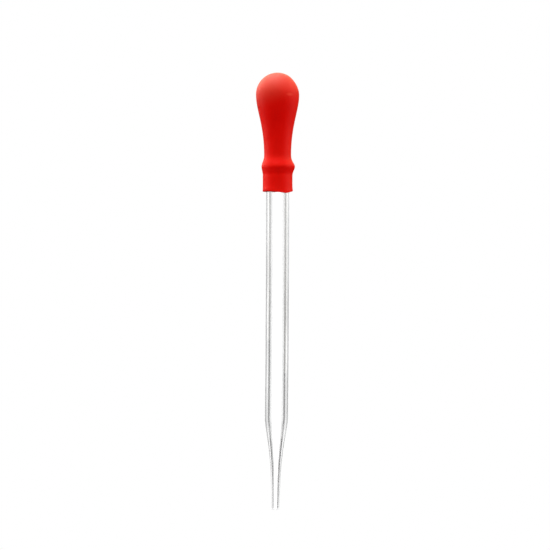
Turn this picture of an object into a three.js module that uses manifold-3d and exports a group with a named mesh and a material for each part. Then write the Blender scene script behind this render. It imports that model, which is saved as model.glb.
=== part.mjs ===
// A glass medicine dropper: a drawn glass tube with a moulded rubber bulb pushed over its top end.
// Millimetres, +Z up. The origin is the centre of the tip's end face, on the tube's axis.
//
// The real dropper has two pieces, the glass tube and the rubber bulb. The bulb is one moulding, but rigid
// solids can't flex, so the two places where finger and thumb press it are walls of their own here. Each
// slides straight in through a window in the bulb, and springs back out.
import * as THREE from "three";
import { mergeVertices } from "three/addons/utils/BufferGeometryUtils.js";
import Module from "manifold-3d";

// Driving dimensions. Radii are measured from the axis, heights from the tip's end face.
const OVERALL_LENGTH = 150;

const TUBE_RADIUS = 3.95;
const TUBE_BORE = 2.7;
const TUBE_TOP = 119;
const TUBE_LIP = 0.35; // the fire-polished edges at the top end

const TAPER_TOP = 32; // the straight tube starts to narrow here
const TAPER_FOOT = 9; // and runs on from here as a slim, almost straight tip
const TIP_RADIUS = 1.33;
const TIP_BORE = 0.91;
const TIP_FLARE = 1.18; // how much wider the slim tip is at its upper end than at its mouth

const WALL = 1.4;
const HEAD_RADIUS = 7.42;
const NECK_RADIUS = 4.62;
const NECK_HEIGHT = 121.8;
const BEAD_RADIUS = 5.72;
const BEAD_HEIGHT = 117.9;
const SLEEVE_RADIUS = 5.1;
const SLEEVE_TOP = 114.9;
const SLEEVE_RIM = 109;
const SLEEVE_GAP = 0.1; // between glass and rubber, which grip each other on the real dropper
const SEAT_GAP = 0.3; // between the tube's top end and the shoulder that it stops against

const PRESS_HEIGHT = 139.5; // where finger and thumb meet the bulb
const PRESS_HALF_WIDTH = 3.8;
const PRESS_HALF_HEIGHT = 7;
const WINDOW_GAP = 0.3;

const SEGMENTS = 40;

// Derived places.
const HEAD_HEIGHT = OVERALL_LENGTH - HEAD_RADIUS;
const SLEEVE_BORE = TUBE_RADIUS + SLEEVE_GAP;
const SEAT_HEIGHT = TUBE_TOP + SEAT_GAP;
const NECK_BORE = NECK_RADIUS - WALL;
const CHAMBER_RADIUS = HEAD_RADIUS - WALL;

const wasm = await Module();
wasm.setup();

const at = (radius, height) => new THREE.Vector2(radius, height);
const line = (from, to) => [new THREE.LineCurve(from, to), 1];
const curve = (from, pullFrom, pullTo, to, steps) => [
  new THREE.CubicBezierCurve(from, pullFrom, pullTo, to),
  steps,
];

// One quarter of a circle about the axis point at that height, from the pole to the widest place.
function dome(radius, height, steps) {
  return [new THREE.EllipseCurve(0, height, radius, radius, Math.PI / 2, 0, true), steps];
}

// The points of an outline made of curves that each start where the last one ended.
function outline(...pieces) {
  return pieces.flatMap(([shape, steps], i) => shape.getPoints(steps).slice(i === 0 ? 0 : 1));
}

// Turns an outline of radius and height about the Z axis.
function turned(points) {
  return new THREE.LatheGeometry(points, SEGMENTS).rotateX(Math.PI / 2);
}

// The bulb's side from the head's widest place down to the neck. The outside and the inside share its run.
function bulbSide(headRadius, neckRadius, steps) {
  const pullDown = 5.6;
  const pullUp = 10.7;
  const spread = 0.08;
  return curve(
    at(headRadius, HEAD_HEIGHT),
    at(headRadius, HEAD_HEIGHT - pullDown),
    at(neckRadius + spread, NECK_HEIGHT + pullUp),
    at(neckRadius, NECK_HEIGHT),
    steps,
  );
}

// The narrowing from the straight tube to the slim tip, for the outside or the bore.
function taper(tubeRadius, tipRadius, steps) {
  const pullDown = 3.5;
  const pullUp = 12.5;
  const footRadius = tipRadius * TIP_FLARE;
  const slope = (footRadius - tipRadius) / TAPER_FOOT;
  return curve(
    at(tubeRadius, TAPER_TOP),
    at(tubeRadius, TAPER_TOP - pullDown),
    at(footRadius + slope * pullUp, TAPER_FOOT + pullUp),
    at(footRadius, TAPER_FOOT),
    steps,
  );
}

function glassTube() {
  const outside = outline(
    line(at(TUBE_RADIUS - TUBE_LIP, TUBE_TOP), at(TUBE_RADIUS, TUBE_TOP - TUBE_LIP)),
    line(at(TUBE_RADIUS, TUBE_TOP - TUBE_LIP), at(TUBE_RADIUS, TAPER_TOP)),
    taper(TUBE_RADIUS, TIP_RADIUS, 8),
    line(at(TIP_RADIUS * TIP_FLARE, TAPER_FOOT), at(TIP_RADIUS, 0)),
  );
  const bore = outline(
    line(at(TUBE_BORE + TUBE_LIP, TUBE_TOP), at(TUBE_BORE, TUBE_TOP - TUBE_LIP)),
    line(at(TUBE_BORE, TUBE_TOP - TUBE_LIP), at(TUBE_BORE, TAPER_TOP)),
    taper(TUBE_BORE, TIP_BORE, 8),
    line(at(TIP_BORE * TIP_FLARE, TAPER_FOOT), at(TIP_BORE, 0)),
  ).reverse();
  return turned([...outside, ...bore, outside[0]].reverse());
}

// The whole rubber bulb, hollow and open at its rim, before the pressed walls are cut out of it.
function wholeBulb() {
  const outside = outline(
    dome(HEAD_RADIUS, HEAD_HEIGHT, 8),
    bulbSide(HEAD_RADIUS, NECK_RADIUS, 9),
    curve(
      at(NECK_RADIUS, NECK_HEIGHT),
      at(NECK_RADIUS, NECK_HEIGHT - 2.3),
      at(BEAD_RADIUS, BEAD_HEIGHT + 1.6),
      at(BEAD_RADIUS, BEAD_HEIGHT),
      5,
    ),
    curve(
      at(BEAD_RADIUS, BEAD_HEIGHT),
      at(BEAD_RADIUS, BEAD_HEIGHT - 1.7),
      at(SLEEVE_RADIUS, SLEEVE_TOP + 1.7),
      at(SLEEVE_RADIUS, SLEEVE_TOP),
      4,
    ),
    line(at(SLEEVE_RADIUS, SLEEVE_TOP), at(SLEEVE_RADIUS, SLEEVE_RIM)),
  );
  const inside = outline(
    dome(CHAMBER_RADIUS, HEAD_HEIGHT, 6),
    bulbSide(CHAMBER_RADIUS, NECK_BORE, 6),
    line(at(NECK_BORE, NECK_HEIGHT), at(NECK_BORE, SEAT_HEIGHT)),
    line(at(NECK_BORE, SEAT_HEIGHT), at(SLEEVE_BORE, SEAT_HEIGHT)),
    line(at(SLEEVE_BORE, SEAT_HEIGHT), at(SLEEVE_BORE, SLEEVE_RIM)),
  ).reverse();
  return turned([...outside, ...inside].reverse());
}

// An oval bar along X through one side of the bulb: side is 1 for +X and -1 for -X.
function ovalBar(side, margin) {
  return new THREE.CylinderGeometry(1, 1, HEAD_RADIUS + 1, SEGMENTS)
    .rotateZ(Math.PI / 2)
    .scale(1, PRESS_HALF_WIDTH + margin, PRESS_HALF_HEIGHT + margin)
    .translate((side * (HEAD_RADIUS + 1)) / 2, 0, PRESS_HEIGHT);
}

// A three.js geometry as a manifold-3d solid, and back.
function solid(geometry) {
  const bare = new THREE.BufferGeometry();
  bare.setAttribute("position", geometry.getAttribute("position"));
  bare.setIndex(geometry.index);
  const merged = mergeVertices(bare, 1e-4);
  return new wasm.Manifold(
    new wasm.Mesh({
      numProp: 3,
      vertProperties: merged.attributes.position.array,
      triVerts: new Uint32Array(merged.index.array),
    }),
  );
}

function shape(solidBody) {
  const mesh = solidBody.getMesh();
  const geometry = new THREE.BufferGeometry();
  geometry.setAttribute("position", new THREE.BufferAttribute(mesh.vertProperties, 3));
  geometry.setIndex(new THREE.BufferAttribute(mesh.triVerts, 1));
  geometry.computeVertexNormals();
  return geometry;
}

const clearGlass = new THREE.MeshStandardMaterial({
  color: 0xeef4f2,
  roughness: 0.03,
  metalness: 0,
  transparent: true,
  opacity: 0.35,
});
const redRubber = new THREE.MeshStandardMaterial({ color: 0xc8120c, roughness: 0.5, metalness: 0 });

function piece(name, geometry, material) {
  const mesh = new THREE.Mesh(geometry, material);
  mesh.name = name;
  return mesh;
}

const dropper = new THREE.Group();
dropper.add(piece("glass_tube", glassTube(), clearGlass));

const bulb = solid(wholeBulb());
let bulbWithWindows = bulb;
for (const [name, side] of [
  ["left_squeeze_wall", -1],
  ["right_squeeze_wall", 1],
]) {
  const wall = bulb.intersect(solid(ovalBar(side, 0)));
  dropper.add(piece(name, shape(wall), redRubber));
  bulbWithWindows = bulbWithWindows.subtract(solid(ovalBar(side, WINDOW_GAP)));
}
dropper.add(piece("rubber_bulb", shape(bulbWithWindows), redRubber));

export default dropper;
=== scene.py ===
"""A medicine dropper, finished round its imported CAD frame: clear drawn glass and a satin red rubber bulb."""

import math

import bpy
import numpy as np
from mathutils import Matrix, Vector


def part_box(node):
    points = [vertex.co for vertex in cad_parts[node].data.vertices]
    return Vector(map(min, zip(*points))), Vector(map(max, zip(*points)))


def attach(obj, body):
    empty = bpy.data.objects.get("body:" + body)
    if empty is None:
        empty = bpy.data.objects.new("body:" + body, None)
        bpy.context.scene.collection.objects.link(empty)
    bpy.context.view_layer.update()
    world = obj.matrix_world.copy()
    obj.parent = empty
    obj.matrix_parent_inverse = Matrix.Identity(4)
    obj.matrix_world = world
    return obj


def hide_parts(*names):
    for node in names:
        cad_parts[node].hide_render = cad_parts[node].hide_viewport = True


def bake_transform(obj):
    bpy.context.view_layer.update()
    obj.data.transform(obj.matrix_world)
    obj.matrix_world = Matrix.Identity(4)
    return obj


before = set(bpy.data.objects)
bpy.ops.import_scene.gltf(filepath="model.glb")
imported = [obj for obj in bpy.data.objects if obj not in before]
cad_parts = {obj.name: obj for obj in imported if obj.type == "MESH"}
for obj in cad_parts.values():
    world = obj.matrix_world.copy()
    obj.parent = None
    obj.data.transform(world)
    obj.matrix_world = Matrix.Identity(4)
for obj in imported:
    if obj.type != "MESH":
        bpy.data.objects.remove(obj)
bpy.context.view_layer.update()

MM = 0.001
TUBE_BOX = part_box("glass_tube")
BULB_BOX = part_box("rubber_bulb")

# The glass tube, in millimetres. Radii are measured from the axis, heights from the tip's end.
TUBE_RADIUS = TUBE_BOX[1].y / MM
TUBE_TOP = TUBE_BOX[1].z / MM
BORE_SHARE = 0.684  # the bore's radius, as a share of the outside's
LIP_ROUNDING = 0.5
TAPER_TOP = 31.7
TAPER_FOOT = 9.0
TIP_RADIUS = 1.33
TIP_FLARE = 1.18  # how much wider the slim tip is at its upper end than at its mouth
TIP_DRIFT = 0.82  # how far the slightly bowed tube has left its axis at the tip
GLASS_WANDER = [(0.012, 1, 0.11), (0.008, 2, -0.23)]  # share, waves in a turn, twist for each millimetre up
WANDER_AT_BORE = 0.6  # how much of that the bore takes
WANDER_OUTSIDE = -0.25

# The rubber bulb, in millimetres.
BULB_TOP = BULB_BOX[1].z / MM
RIM_HEIGHT = BULB_BOX[0].z / MM
HEAD_RADIUS = BULB_BOX[1].y / MM
HEAD_HEIGHT = BULB_TOP - HEAD_RADIUS
WALL = 1.4
NECK_RADIUS = 4.62
NECK_HEIGHT = 121.8
BEAD_RADIUS = 5.72
BEAD_HEIGHT = 117.6
SLEEVE_RADIUS = 5.1
SLEEVE_TOP = 114.9
SLEEVE_GAP = 0.06
SLEEVE_BORE = TUBE_RADIUS + SLEEVE_GAP
SEAT_GAP = 0.2
SEAT_HEIGHT = TUBE_TOP + SEAT_GAP
RIM_ROUNDING = 0.18

# Where the rubber isn't a perfect turned shape, in millimetres. Angles are in radians from +X.
RIM_REACH = 3.0  # how far up the sleeve the rim's unevenness is felt
RIM_WAVES = [(0.10, 2, 0.4), (0.07, 5, 2.0), (0.03, 9, 0.0)]  # size, waves in a turn, phase
RIM_BACK_RISE = 0.15  # half of what the rim rises at the back
RIM_DIP = 0.38
RIM_DIP_ANGLE = -1.08
RIM_DIP_SHARPNESS = 7
RIM_FLARE = 0.10
RIM_FLARE_WAVES = [(0.05, 3, 1.0)]
BURRS = [  # angle, height above the rim, how far it stands out, sharpness
    (-2.46, 0.75, 0.13, 70),
    (-0.80, 0.60, 0.10, 84),
    (0.90, 0.50, 0.10, 70),
]
BURR_REACH = 0.42
BEAD_REACH = 1.6
BEAD_SHIFT = 0.2  # towards +X
BEAD_RIPPLES = [(0.03, 4, 0.7), (0.02, 11, 0.0)]  # in and out
BEAD_WAVES = [(0.12, 2, 2.4)]  # up and down
OVAL_WAVES = [(0.004, 2, 0.9)]  # as a share of the radius, and less down the sleeve
FLAT_SHARE = 0.024  # half of what the radius loses where the head is flatter, on its +X side
FLAT_HEIGHT = 147.2
FLAT_REACH = 3.0

# Where the two dark bands of painted shade along the glass begin, fade and end, as (low, high) heights in
# millimetres.
BAND_START = (22.5, 30.5)
BAND_FADE = (62, 102)
BAND_LOSS_LEFT = 0.12
BAND_LOSS_RIGHT = 0.25
BAND_IN_BORE = 0.4
TAPER_END = (23.2, 31.2)
TIP_THINNING = (4, 13)
TIP_LOSS_LEFT = 0.3
BORE_FADE = (14, 28)
BORE_LOSS = 0.6
MOUTH_FADE = (0.1, 0.6)
MOUTH_SHARE = 0.35

# The painted highlight on the crown and the short pale mark on the rubber, in millimetres.
CROWN_HIGHLIGHT_FOOT = 137.5
PALE_MARK_PLACE = (4.2, -6.1, 141.9)
PALE_MARK_REACH = (1.7, 3.0, 0.7)

GLASS_SEGMENTS = 192
GLASS_EDGE_STEPS = 14  # over the lip, and round the tip's end
RUBBER_SEGMENTS = 96  # round half a turn


# Curves

def bezier(p0, p1, p2, p3, steps):
    """Points of a cubic curve, without its first one."""
    t = np.linspace(0, 1, steps + 1)[1:, None]
    p0, p1, p2, p3 = (np.array(p, float) for p in (p0, p1, p2, p3))
    return (1 - t) ** 3 * p0 + 3 * (1 - t) ** 2 * t * p1 + 3 * (1 - t) * t**2 * p2 + t**3 * p3


def arc(centre, radii, start, end, steps):
    """Points of an upright ellipse's arc, without its first one. Angles in degrees, 0 outwards and 90 up."""
    a = np.radians(np.linspace(start, end, steps + 1)[1:, None])
    return np.array(centre, float) + np.array(radii, float) * np.hstack([np.cos(a), np.sin(a)])


def line(start, end, steps):
    """Points of a straight line, without its first one."""
    t = np.linspace(0, 1, steps + 1)[1:, None]
    return np.array(start, float) * (1 - t) + np.array(end, float) * t


def smooth(low, high, x):
    """A smooth step from 0 at low to 1 at high."""
    t = np.clip((x - low) / (high - low), 0, 1)
    return t * t * (3 - 2 * t)


def hump(middle, reach, x):
    """A bell shape, 1 at its middle."""
    return np.exp(-(((x - middle) / reach) ** 2))


def lobe(middle, sharpness, angle):
    """A bell shape round a circle, 1 at its middle."""
    return np.exp(sharpness * (np.cos(angle - middle) - 1))


def waves(angle, terms):
    """The sum of waves round a circle, each given by its size, its waves in a turn and its phase."""
    return sum(size * np.sin(count * angle + phase) for size, count, phase in terms)


# Outlines

def tube_side(share):
    """The tube's side from its tip to its top: its outside for share 1, and nearer the axis for less."""
    wide = TUBE_RADIUS * share
    tip = TIP_RADIUS * share
    foot = tip * TIP_FLARE
    slope = (foot - tip) / TAPER_FOOT
    pull_up = 12.5
    pull_down = 4.2
    tip_steps, taper_steps, straight_steps = 20, 48, 60
    return np.vstack(
        [
            line((tip, 0), (foot, TAPER_FOOT), tip_steps),
            bezier(
                (foot, TAPER_FOOT),
                (foot + slope * pull_up, TAPER_FOOT + pull_up),
                (wide, TAPER_TOP - pull_down),
                (wide, TAPER_TOP),
                taper_steps,
            ),
            line((wide, TAPER_TOP), (wide, TUBE_TOP), straight_steps),
        ]
    )


def side_radius(share, height):
    """The radius of that side at a height."""
    side = tube_side(share)
    return np.interp(height, side[:, 1], side[:, 0])


def tube_outline():
    """The closed outline of the glass: up the outside, over the lip, down the bore, round the tip's end."""
    mid_share = (1 + BORE_SHARE) / 2
    half_wall = (1 - BORE_SHARE) / 2
    lip_foot = TUBE_TOP - LIP_ROUNDING
    lip_start = (TUBE_RADIUS, lip_foot)
    lip_middle = (TUBE_RADIUS * mid_share, lip_foot)
    lip = arc(lip_middle, (TUBE_RADIUS * half_wall, LIP_ROUNDING), 0, 180, GLASS_EDGE_STEPS)
    end_reach = TIP_RADIUS * half_wall
    end_start = (TIP_RADIUS * BORE_SHARE, end_reach)
    end_middle = (TIP_RADIUS * mid_share, end_reach)
    end = arc(end_middle, (end_reach, end_reach), 180, 360, GLASS_EDGE_STEPS)
    outside = tube_side(1.0)
    bore = tube_side(BORE_SHARE)[::-1]
    outside, bore = (side[(side[:, 1] > end_reach) & (side[:, 1] < lip_foot)] for side in (outside, bore))
    return np.vstack([outside, lip_start, lip, bore, end_start, end])


def bulb_side(head, neck, steps):
    """The run from the head's widest place down to the neck."""
    pull_down = 5.6
    pull_up = 10.7
    spread = 0.08
    return bezier(
        (head, HEAD_HEIGHT),
        (head, HEAD_HEIGHT - pull_down),
        (neck + spread, NECK_HEIGHT + pull_up),
        (neck, NECK_HEIGHT),
        steps,
    )


def bulb_outline():
    """From the pole on the outside, down to the rim, and back up the inside.

    Both runs have as many points, and the flat cut joins them level by level, so the inside passes its seat
    while the outside is at the same height."""
    dome, side, shoulder, underside, sleeve, corner = 30, 44, 12, 12, 14, 5
    to_seat, over_seat = 4, 2
    below_seat = shoulder + underside - to_seat - over_seat
    neck_pull = 2.2
    bead_pull_up = 1.35
    bead_pull_down = 0.7
    bead_lean = 0.04
    sleeve_pull = 0.8
    sleeve_lean = 0.03
    corner_height = RIM_HEIGHT + RIM_ROUNDING
    rounding = (RIM_ROUNDING, RIM_ROUNDING)
    outside = [
        [(0.0, BULB_TOP)],
        arc((0, HEAD_HEIGHT), (HEAD_RADIUS, HEAD_RADIUS), 90, 0, dome),
        bulb_side(HEAD_RADIUS, NECK_RADIUS, side),
        bezier(
            (NECK_RADIUS, NECK_HEIGHT),
            (NECK_RADIUS, NECK_HEIGHT - neck_pull),
            (BEAD_RADIUS - bead_lean, BEAD_HEIGHT + bead_pull_up),
            (BEAD_RADIUS, BEAD_HEIGHT),
            shoulder,
        ),
        bezier(
            (BEAD_RADIUS, BEAD_HEIGHT),
            (BEAD_RADIUS - bead_lean, BEAD_HEIGHT - bead_pull_down),
            (SLEEVE_RADIUS + sleeve_lean, SLEEVE_TOP + sleeve_pull),
            (SLEEVE_RADIUS, SLEEVE_TOP),
            underside,
        ),
        line((SLEEVE_RADIUS, SLEEVE_TOP), (SLEEVE_RADIUS, corner_height), sleeve),
        arc((SLEEVE_RADIUS - RIM_ROUNDING, corner_height), rounding, 0, -90, corner),
    ]
    chamber = HEAD_RADIUS - WALL
    neck_bore = NECK_RADIUS - WALL
    inside = [
        [(0.0, HEAD_HEIGHT + chamber)],
        arc((0, HEAD_HEIGHT), (chamber, chamber), 90, 0, dome),
        bulb_side(chamber, neck_bore, side),
        line((neck_bore, NECK_HEIGHT), (neck_bore, SEAT_HEIGHT), to_seat),
        line((neck_bore, SEAT_HEIGHT), (SLEEVE_BORE, SEAT_HEIGHT), over_seat),
        line((SLEEVE_BORE, SEAT_HEIGHT), (SLEEVE_BORE, SLEEVE_TOP), below_seat),
        line((SLEEVE_BORE, SLEEVE_TOP), (SLEEVE_BORE, corner_height), sleeve),
        arc((SLEEVE_BORE + RIM_ROUNDING, corner_height), rounding, 180, 270, corner),
    ]
    return np.vstack([np.vstack(outside), np.vstack(inside)[::-1]])


# Turned surfaces with the small unevenness of the real pieces

def uneven_glass(radius, height, angle):
    """A point of the drawn glass: its wall's thickness wanders, and its tip isn't quite on the axis."""
    wander = waves(angle, [(size, count, twist * height) for size, count, twist in GLASS_WANDER])
    across = (radius / side_radius(1.0, height) - BORE_SHARE) / (1 - BORE_SHARE)
    swing = WANDER_AT_BORE + (WANDER_OUTSIDE - WANDER_AT_BORE) * np.clip(across, 0, 1)
    radius = radius * (1 + swing * wander)
    drift = TIP_DRIFT * np.clip(1 - height / RIM_HEIGHT, 0, 1) ** 2
    return radius * np.cos(angle) - drift, radius * np.sin(angle), height


def uneven_rubber(radius, height, angle):
    """A point of the moulded rubber: its cut rim is uneven, and the whole bulb is a little out of round.

    The rim's flare and burrs and the bead's ripple are only on the outside, so the bore still fits the
    glass."""
    outer = smooth(SLEEVE_BORE, NECK_RADIUS, radius)

    near_rim = 1 - smooth(0, RIM_REACH, height - RIM_HEIGHT)
    rim = waves(angle, RIM_WAVES) + RIM_BACK_RISE * (1 + np.sin(angle))
    rim = rim - RIM_DIP * lobe(RIM_DIP_ANGLE, RIM_DIP_SHARPNESS, angle)
    flare = near_rim**2 * (RIM_FLARE + waves(angle, RIM_FLARE_WAVES))
    burrs = sum(
        out * lobe(place, sharpness, angle) * hump(RIM_HEIGHT + up, BURR_REACH, height)
        for place, up, out, sharpness in BURRS
    )

    bead = hump(BEAD_HEIGHT, BEAD_REACH, height) * outer
    ripple = BEAD_SHIFT * np.cos(angle) + waves(angle, BEAD_RIPPLES)

    oval = waves(angle, OVAL_WAVES) * smooth(RIM_HEIGHT, BEAD_HEIGHT, height)
    flat = FLAT_SHARE * (1 + np.cos(angle)) * hump(FLAT_HEIGHT, FLAT_REACH, height)

    radius = radius * (1 + oval - flat) + outer * (flare + burrs) + bead * ripple
    height = height + near_rim * rim + bead * waves(angle, BEAD_WAVES)
    return radius * np.cos(angle), radius * np.sin(angle), height


def turned_points(outline, angles, uneven):
    """An array of points, one row for each outline point and one column for each angle, in metres."""
    radius, height = outline[:, :1], outline[:, 1:]
    x, y, z = uneven(radius, height, angles[None, :])
    return np.stack(np.broadcast_arrays(x, y, z), axis=-1) * MM


def new_mesh(name, points, faces):
    """A smooth-shaded mesh object that remembers each point's place at rest, for its material."""
    mesh = bpy.data.meshes.new(name)
    mesh.from_pydata(points.tolist(), [], faces)
    mesh.update()
    mesh.shade_smooth()
    rest = mesh.attributes.new("rest_place", "FLOAT_VECTOR", "POINT")
    rest.data.foreach_set("vector", points.astype(np.float32).ravel())
    piece = bpy.data.objects.new(name, mesh)
    bpy.context.scene.collection.objects.link(piece)
    return piece


def band_shares(outline, angles):
    """How strong the glass's two dark bands of painted shade are at each point of the tube, as its shader
    reads them.
    """
    radius, height = outline[:, :1], outline[:, 1:]
    outside = radius > side_radius((1 + BORE_SHARE) / 2, height)
    right = (1 + np.cos(angles)) / 2

    upper_loss = (BAND_LOSS_LEFT + (BAND_LOSS_RIGHT - BAND_LOSS_LEFT) * right) * smooth(*BAND_FADE, height)
    band = smooth(*BAND_START, height) * np.where(outside, 1 - upper_loss, BAND_IN_BORE)

    tip_loss = TIP_LOSS_LEFT * (1 - right) * (1 - smooth(*TIP_THINNING, height))
    bore_loss = BORE_LOSS * smooth(*BORE_FADE, height)
    mouth = MOUTH_SHARE + (1 - MOUTH_SHARE) * smooth(*MOUTH_FADE, height)
    taper = (1 - smooth(*TAPER_END, height)) * np.where(outside, 1 - tip_loss, 1 - bore_loss) * mouth
    return {"band_share": band, "taper_share": taper}


def glass_tube():
    """The tube as one closed surface, turned all the way round."""
    outline = tube_outline()
    angles = np.linspace(0, 2 * math.pi, GLASS_SEGMENTS, endpoint=False)
    points = turned_points(outline, angles, uneven_glass)
    rows, columns = points.shape[:2]
    faces = [
        (
            i * columns + j,
            i * columns + (j + 1) % columns,
            (i + 1) % rows * columns + (j + 1) % columns,
            (i + 1) % rows * columns + j,
        )
        for i in range(rows)
        for j in range(columns)
    ]
    piece = new_mesh("drawn_glass_tube", points.reshape(-1, 3), faces)
    for name, share in band_shares(outline, angles).items():
        layer = piece.data.attributes.new(name, "FLOAT", "POINT")
        layer.data.foreach_set("value", share.astype(np.float32).ravel())
    return piece


def bulb_half(name, side):
    """Half of the rubber bulb, closed by a flat cut at x = 0. Side is 1 for +X and -1 for -X.

    The two halves meet along the cut, and share its points and its normals, so that the join doesn't show."""
    outline = bulb_outline()
    middle = 0 if side > 0 else math.pi
    angles = middle + np.linspace(-math.pi / 2, math.pi / 2, RUBBER_SEGMENTS + 1)
    grid = turned_points(outline, angles, uneven_rubber)
    rows, columns = grid.shape[:2]
    last = rows - 1

    nudge = 1e-4
    ahead = turned_points(outline, angles + nudge, uneven_rubber)
    behind = turned_points(outline, angles - nudge, uneven_rubber)
    normals = np.cross(np.gradient(grid, axis=0), ahead - behind)
    normals[0] = (0, 0, 1)
    normals[last] = (0, 0, -1)
    normals /= np.linalg.norm(normals, axis=-1, keepdims=True)

    # The first and last rows are single points on the axis. They come after all the others.
    grid[[0, last]] = grid[[0, last]].mean(axis=1, keepdims=True)
    grid[[0, last], :, :2] = 0
    grid[:, [0, -1], 0] = 0
    outer_pole = (rows - 2) * columns
    inner_pole = outer_pole + 1
    points = np.vstack([grid[1:last].reshape(-1, 3), grid[0, :1], grid[last, :1]])
    point_normals = np.vstack([normals[1:last].reshape(-1, 3), normals[0, :1], normals[last, :1]])

    def index(i, j):
        if i == 0:
            return outer_pole
        if i == last:
            return inner_pole
        return (i - 1) * columns + j

    round_faces = []
    for i in range(last):
        for j in range(columns - 1):
            corners = [index(i, j), index(i + 1, j), index(i + 1, j + 1), index(i, j + 1)]
            round_faces.append(tuple(dict.fromkeys(corners)))
    cut_faces = []
    for i in range(rows // 2 - 1):
        for j, step in ((0, 1), (columns - 1, -1)):
            corners = [index(i, j), index(last - i, j), index(last - i - 1, j), index(i + 1, j)]
            cut_faces.append(tuple(corners[::step]))
    piece = new_mesh(name, points, round_faces + cut_faces)
    corner_normals = [tuple(point_normals[v]) for face in round_faces for v in face]
    corner_normals += [(-side, 0, 0) for face in cut_faces for _ in face]
    piece.data.normals_split_custom_set(corner_normals)
    return piece


# Nodes

def fill(tree, node, inputs):
    """Links a node's inputs to other nodes' outputs, and sets those that are given as constants."""
    for key, value in inputs.items():
        if isinstance(value, bpy.types.NodeSocket):
            tree.links.new(value, node.inputs[key])
        else:
            node.inputs[key].default_value = value


def add_node(tree, kind, inputs=None, **settings):
    """A new node of this kind, with its inputs filled and its properties set."""
    node = tree.nodes.new(f"ShaderNode{kind}")
    for name, value in settings.items():
        setattr(node, name, value)
    fill(tree, node, inputs or {})
    return node


def new_material(name):
    """A material and its node tree, which holds a Principled BSDF."""
    material = bpy.data.materials.new(name)
    material.use_nodes = True
    return material, material.node_tree


def vector_math(tree, operation, vector, other=(0, 0, 0)):
    """The result of a vector operation: a number for a length or a dot product, and a vector otherwise."""
    node = add_node(tree, "VectorMath", {0: vector, 1: other}, operation=operation)
    return node.outputs["Value" if operation in ("LENGTH", "DOT_PRODUCT") else "Vector"]


def mapped(tree, value, source, target, interpolation="SMOOTHSTEP"):
    """The value, carried from the source range into the target range, and held at its ends."""
    inputs = {
        "Value": value,
        "From Min": source[0],
        "From Max": source[1],
        "To Min": target[0],
        "To Max": target[1],
    }
    return add_node(tree, "MapRange", inputs, interpolation_type=interpolation).outputs["Result"]


def mixed(tree, share, first, second, blend="MIX"):
    """A mix of two colours. Inputs 6 and 7 and output 2 are the Mix node's colour sockets."""
    inputs = {"Factor": share, 6: first, 7: second}
    return add_node(tree, "Mix", inputs, data_type="RGBA", blend_type=blend).outputs[2]


def ramp(tree, value, stops):
    """The value's colour on a ColorRamp with these (place, grey or colour) stops."""
    node = add_node(tree, "ValToRGB", {"Fac": value})
    elements = node.color_ramp.elements
    while len(elements) < len(stops):
        elements.new(0.5)
    for element, (place, tone) in zip(elements, stops):
        element.position = place
        element.color = tone if isinstance(tone, tuple) else (tone, tone, tone, 1)
    return node.outputs["Color"]


# Materials

WHITE = (1, 1, 1, 1)

# How much light a surface of the glass lets by, from face on (0) to edge on (1): painted shade for the dark
# band where the sight line grazes the bore, along the straight tube and along its taper.
GLASS_PAINTED_SHADE = [(0.0, 1.0), (0.1, 1.0), (0.155, 0.66), (0.222, 0.08), (0.3, 0.08), (0.42, 0.96), (0.6, 1.0)]
GLASS_TAPER_PAINTED_SHADE = [(0.0, 1.0), (0.18, 0.97), (0.212, 0.08), (0.335, 0.05), (0.46, 0.9), (0.62, 1.0)]

RUBBER_DARK = (0.65, 0.0008, 0.0004, 1)
RUBBER_LIGHT = (0.73, 0.0016, 0.0008, 1)
# Painted highlight on the crown: its pale colour, the way it leans to the left, and how fast it fades in.
CROWN_HIGHLIGHT_COLOUR = (0.54, 0.115, 0.105, 1)
CROWN_HIGHLIGHT_DIRECTION = (-0.3, 0, 1)
CROWN_HIGHLIGHT_POWER = 1.95
# A short pale mark on the front of the head: its colour, its strength and its core.
PALE_MARK_COLOUR = (0.8, 0.07, 0.05, 1)
PALE_MARK_SHARE = 0.45
PALE_MARK_CORE = 0.2  # how much of the pale mark's reach is at full strength


def clear_glass():
    """Glass whose edges are darkened with painted shade where the sight line grazes a wall, as drawn tubing
    looks on a white ground.
    """
    material, tree = new_material("clear_glass")
    facing = add_node(tree, "LayerWeight", {"Blend": 0.5}).outputs["Facing"]
    colour = WHITE
    # Painted shade: each band's share darkens the glass's colour by how edge-on its surface is.
    for name, stops in (("band_share", GLASS_PAINTED_SHADE), ("taper_share", GLASS_TAPER_PAINTED_SHADE)):
        share = add_node(tree, "Attribute", attribute_name=name).outputs["Fac"]
        colour = mixed(tree, share, colour, ramp(tree, facing, stops), "MULTIPLY")
    inputs = {"Base Color": colour, "Roughness": 0.0, "IOR": 1.5, "Transmission Weight": 1.0}
    fill(tree, tree.nodes["Principled BSDF"], inputs)
    return material


def with_crown_highlight(tree, place, colour):
    """The colour, with a painted highlight: paler towards the crown and a little more so on its left, where
    the light falls.
    """
    upward = vector_math(tree, "DOT_PRODUCT", place, CROWN_HIGHLIGHT_DIRECTION)
    rise = mapped(tree, upward, (CROWN_HIGHLIGHT_FOOT * MM, BULB_TOP * MM), (0.0, 1.0), "LINEAR")
    share = add_node(tree, "Math", {0: rise, 1: CROWN_HIGHLIGHT_POWER}, operation="POWER").outputs["Value"]
    return mixed(tree, share, colour, CROWN_HIGHLIGHT_COLOUR)


def with_pale_mark(tree, place, colour):
    """The colour, with a short pale mark on the front of the head."""
    offset = vector_math(tree, "SUBTRACT", place, [v * MM for v in PALE_MARK_PLACE])
    shrunk = vector_math(tree, "MULTIPLY", offset, [1 / (v * MM) for v in PALE_MARK_REACH])
    share = mapped(tree, vector_math(tree, "LENGTH", shrunk), (PALE_MARK_CORE, 1.0), (PALE_MARK_SHARE, 0.0))
    return mixed(tree, share, colour, PALE_MARK_COLOUR)


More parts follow.
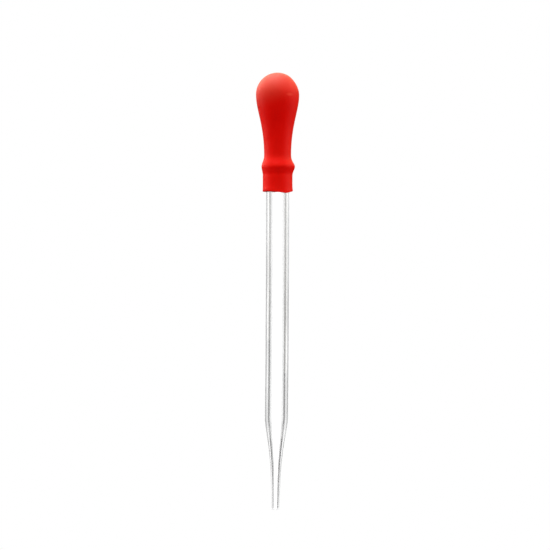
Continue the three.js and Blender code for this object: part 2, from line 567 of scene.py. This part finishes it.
def red_rubber():
    """Satin red rubber, faintly cloudy, with a painted highlight on its crown, a short pale mark and a fine
    grain.
    """
    material, tree = new_material("red_rubber")
    place = add_node(tree, "Attribute", attribute_name="rest_place").outputs["Vector"]

    def noise(scale, detail, roughness=0.55):
        inputs = {"Scale": scale, "Detail": detail, "Roughness": roughness, "Vector": place}
        return add_node(tree, "TexNoise", inputs).outputs["Fac"]

    cloud = noise(scale=160, detail=4)
    colour = ramp(tree, cloud, [(0.3, RUBBER_DARK), (0.7, RUBBER_LIGHT)])
    # A painted highlight towards the crown, then the short pale mark.
    colour = with_pale_mark(tree, place, with_crown_highlight(tree, place, colour))

    satin = noise(scale=420, detail=5, roughness=0.6)
    roughness = ramp(tree, satin, [(0.3, 0.38), (0.7, 0.52)])

    grain = noise(scale=5200, detail=3)
    swell = noise(scale=210, detail=2)
    swell_share = 9.0
    relief = {0: swell, 1: swell_share, 2: grain}
    height = add_node(tree, "Math", relief, operation="MULTIPLY_ADD").outputs["Value"]
    bump = add_node(tree, "Bump", {"Strength": 0.35, "Distance": 0.02 * MM, "Height": height})

    inputs = {
        "Base Color": colour,
        "Roughness": roughness,
        "Specular IOR Level": 0.1,
        "Normal": bump.outputs["Normal"],
    }
    fill(tree, tree.nodes["Principled BSDF"], inputs)
    return material


# The object

tube = glass_tube()
tube.data.materials.append(clear_glass())
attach(tube, "tube")
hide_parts("glass_tube")

rubber = red_rubber()
for wall, side in (("left", -1), ("right", 1)):
    half = bulb_half(f"rubber_bulb_{wall}_half", side)
    half.data.materials.append(rubber)
    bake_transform(half)
    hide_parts("rubber_bulb", f"{wall}_squeeze_wall")


# The studio, in metres

FLOOR_RADIUS = 1.2
FLOOR_GAP = 0.3 * MM

# How strong the white of the sky and the floor is, for each kind of ray.
WHITE_SEEN = 1.0
WHITE_THROUGH = 1.22  # brighter than white, to make up for what the glass walls lose
WHITE_THROUGH_RIGHT = 0.86
THROUGH_FADE = (0.3, 0.85)  # where it falls to that, by the X of the direction
WHITE_MIRRORED = 0.95

# The light on the rubber: the sky's by the Z of the direction it comes from, and the floor's by how far out.
SKY_COLOUR = (1, 0.83, 0.45, 1)
SKY_RISE = (-0.15, 0.6)
SKY_STRENGTH = (0.03, 1.75)
ZENITH_FADE = (0.6, 0.9)
ZENITH_SHARE = (1.0, 0.3)
FLOOR_COLOUR = (1, 0.65, 0.42, 1)
FLOOR_FADE = (0.04, 0.25)
FLOOR_STRENGTH = (1.08, 0.08)

LAMP_TARGET = (0, 0, 0.1)
LAMPS = [  # name, place, width, height, watts, colour
    ("overhead", (-0.1, -0.02, 0.78), 0.7, 0.6, 5.4, (1, 1, 1)),
    ("left", (-0.55, 0.08, 0.35), 0.5, 0.7, 1.75, (1, 0.95, 0.88)),
    ("left_back", (-0.5, 0.45, 0.45), 0.5, 0.5, 1.2, (1, 1, 1)),
    ("right", (0.55, -0.02, 0.25), 0.5, 0.8, 1.9, (1, 0.94, 0.84)),
]

CAMERA_PLACE = (-0.0009, -0.525, 0.0805)  # just left of the axis, and a little above the middle


def white_studio(tree, kind, through, strength, colour):
    """White to the camera and in the glass, with a strength and colour of its own as light on the rubber.

    Kind is the node that glows, Background or Emission."""

    def glow(strength, colour=WHITE):
        return add_node(tree, kind, {"Color": colour, "Strength": strength}).outputs[0]

    path = add_node(tree, "LightPath")
    shown = glow(strength, colour)
    for ray, white in (("Singular", WHITE_MIRRORED), ("Transmission", through), ("Camera", WHITE_SEEN)):
        inputs = {"Fac": path.outputs[f"Is {ray} Ray"], 1: shown, 2: glow(white)}
        shown = add_node(tree, "MixShader", inputs).outputs[0]
    return shown


def sky():
    """A white surround. It lights the rubber warmly, and most strongly from part way up."""
    world = bpy.data.worlds.new("studio")
    bpy.context.scene.world = world
    world.use_nodes = True
    tree = world.node_tree
    tree.nodes.clear()
    direction = add_node(tree, "TexCoord").outputs["Generated"]
    split = add_node(tree, "SeparateXYZ", {"Vector": direction})
    through = mapped(tree, split.outputs["X"], THROUGH_FADE, (WHITE_THROUGH, WHITE_THROUGH_RIGHT))
    above = mapped(tree, split.outputs["Z"], SKY_RISE, SKY_STRENGTH)
    zenith = mapped(tree, split.outputs["Z"], ZENITH_FADE, ZENITH_SHARE)
    strength = add_node(tree, "Math", {0: above, 1: zenith}, operation="MULTIPLY").outputs["Value"]
    shown = white_studio(tree, "Background", through, strength, SKY_COLOUR)
    add_node(tree, "OutputWorld", {"Surface": shown})


def floor():
    """A pale floor. It lights the rubber warmly from close by, and hardly at all from far out."""
    bpy.ops.mesh.primitive_circle_add(
        vertices=128, radius=FLOOR_RADIUS, fill_type="NGON", location=(0, 0, -FLOOR_GAP)
    )
    piece = bpy.context.object
    piece.name = "floor"
    material, tree = new_material("floor")
    tree.nodes.clear()
    place = add_node(tree, "NewGeometry").outputs["Position"]
    strength = mapped(tree, vector_math(tree, "LENGTH", place), FLOOR_FADE, FLOOR_STRENGTH)
    shown = white_studio(tree, "Emission", WHITE_THROUGH, strength, FLOOR_COLOUR)
    add_node(tree, "OutputMaterial", {"Surface": shown})
    piece.data.materials.append(material)


def camera():
    """A level camera, in front of the dropper."""
    data = bpy.data.cameras.new("camera")
    data.sensor_width = 36
    data.lens = 100
    data.clip_start = 0.01
    data.clip_end = 20
    eye = bpy.data.objects.new("camera", data)
    bpy.context.scene.collection.objects.link(eye)
    eye.location = CAMERA_PLACE
    eye.rotation_euler = (math.pi / 2, 0, 0)
    bpy.context.scene.camera = eye


def softbox(name, place, width, height, watts, colour):
    """A soft lamp, turned to the object. The camera doesn't see it, nor do rays through the glass."""
    light = bpy.data.lights.new(name, "AREA")
    light.shape = "RECTANGLE"
    light.size = width
    light.size_y = height
    light.energy = watts
    light.color = colour
    lamp = bpy.data.objects.new(name, light)
    bpy.context.scene.collection.objects.link(lamp)
    lamp.location = place
    lamp.rotation_mode = "QUATERNION"
    lamp.rotation_quaternion = (Vector(LAMP_TARGET) - Vector(place)).to_track_quat("-Z", "Y")
    lamp.visible_camera = False
    lamp.visible_transmission = False


sky()
floor()
camera()
for lamp in LAMPS:
    softbox(*lamp)
bpy.context.scene.view_settings.view_transform = "Standard"
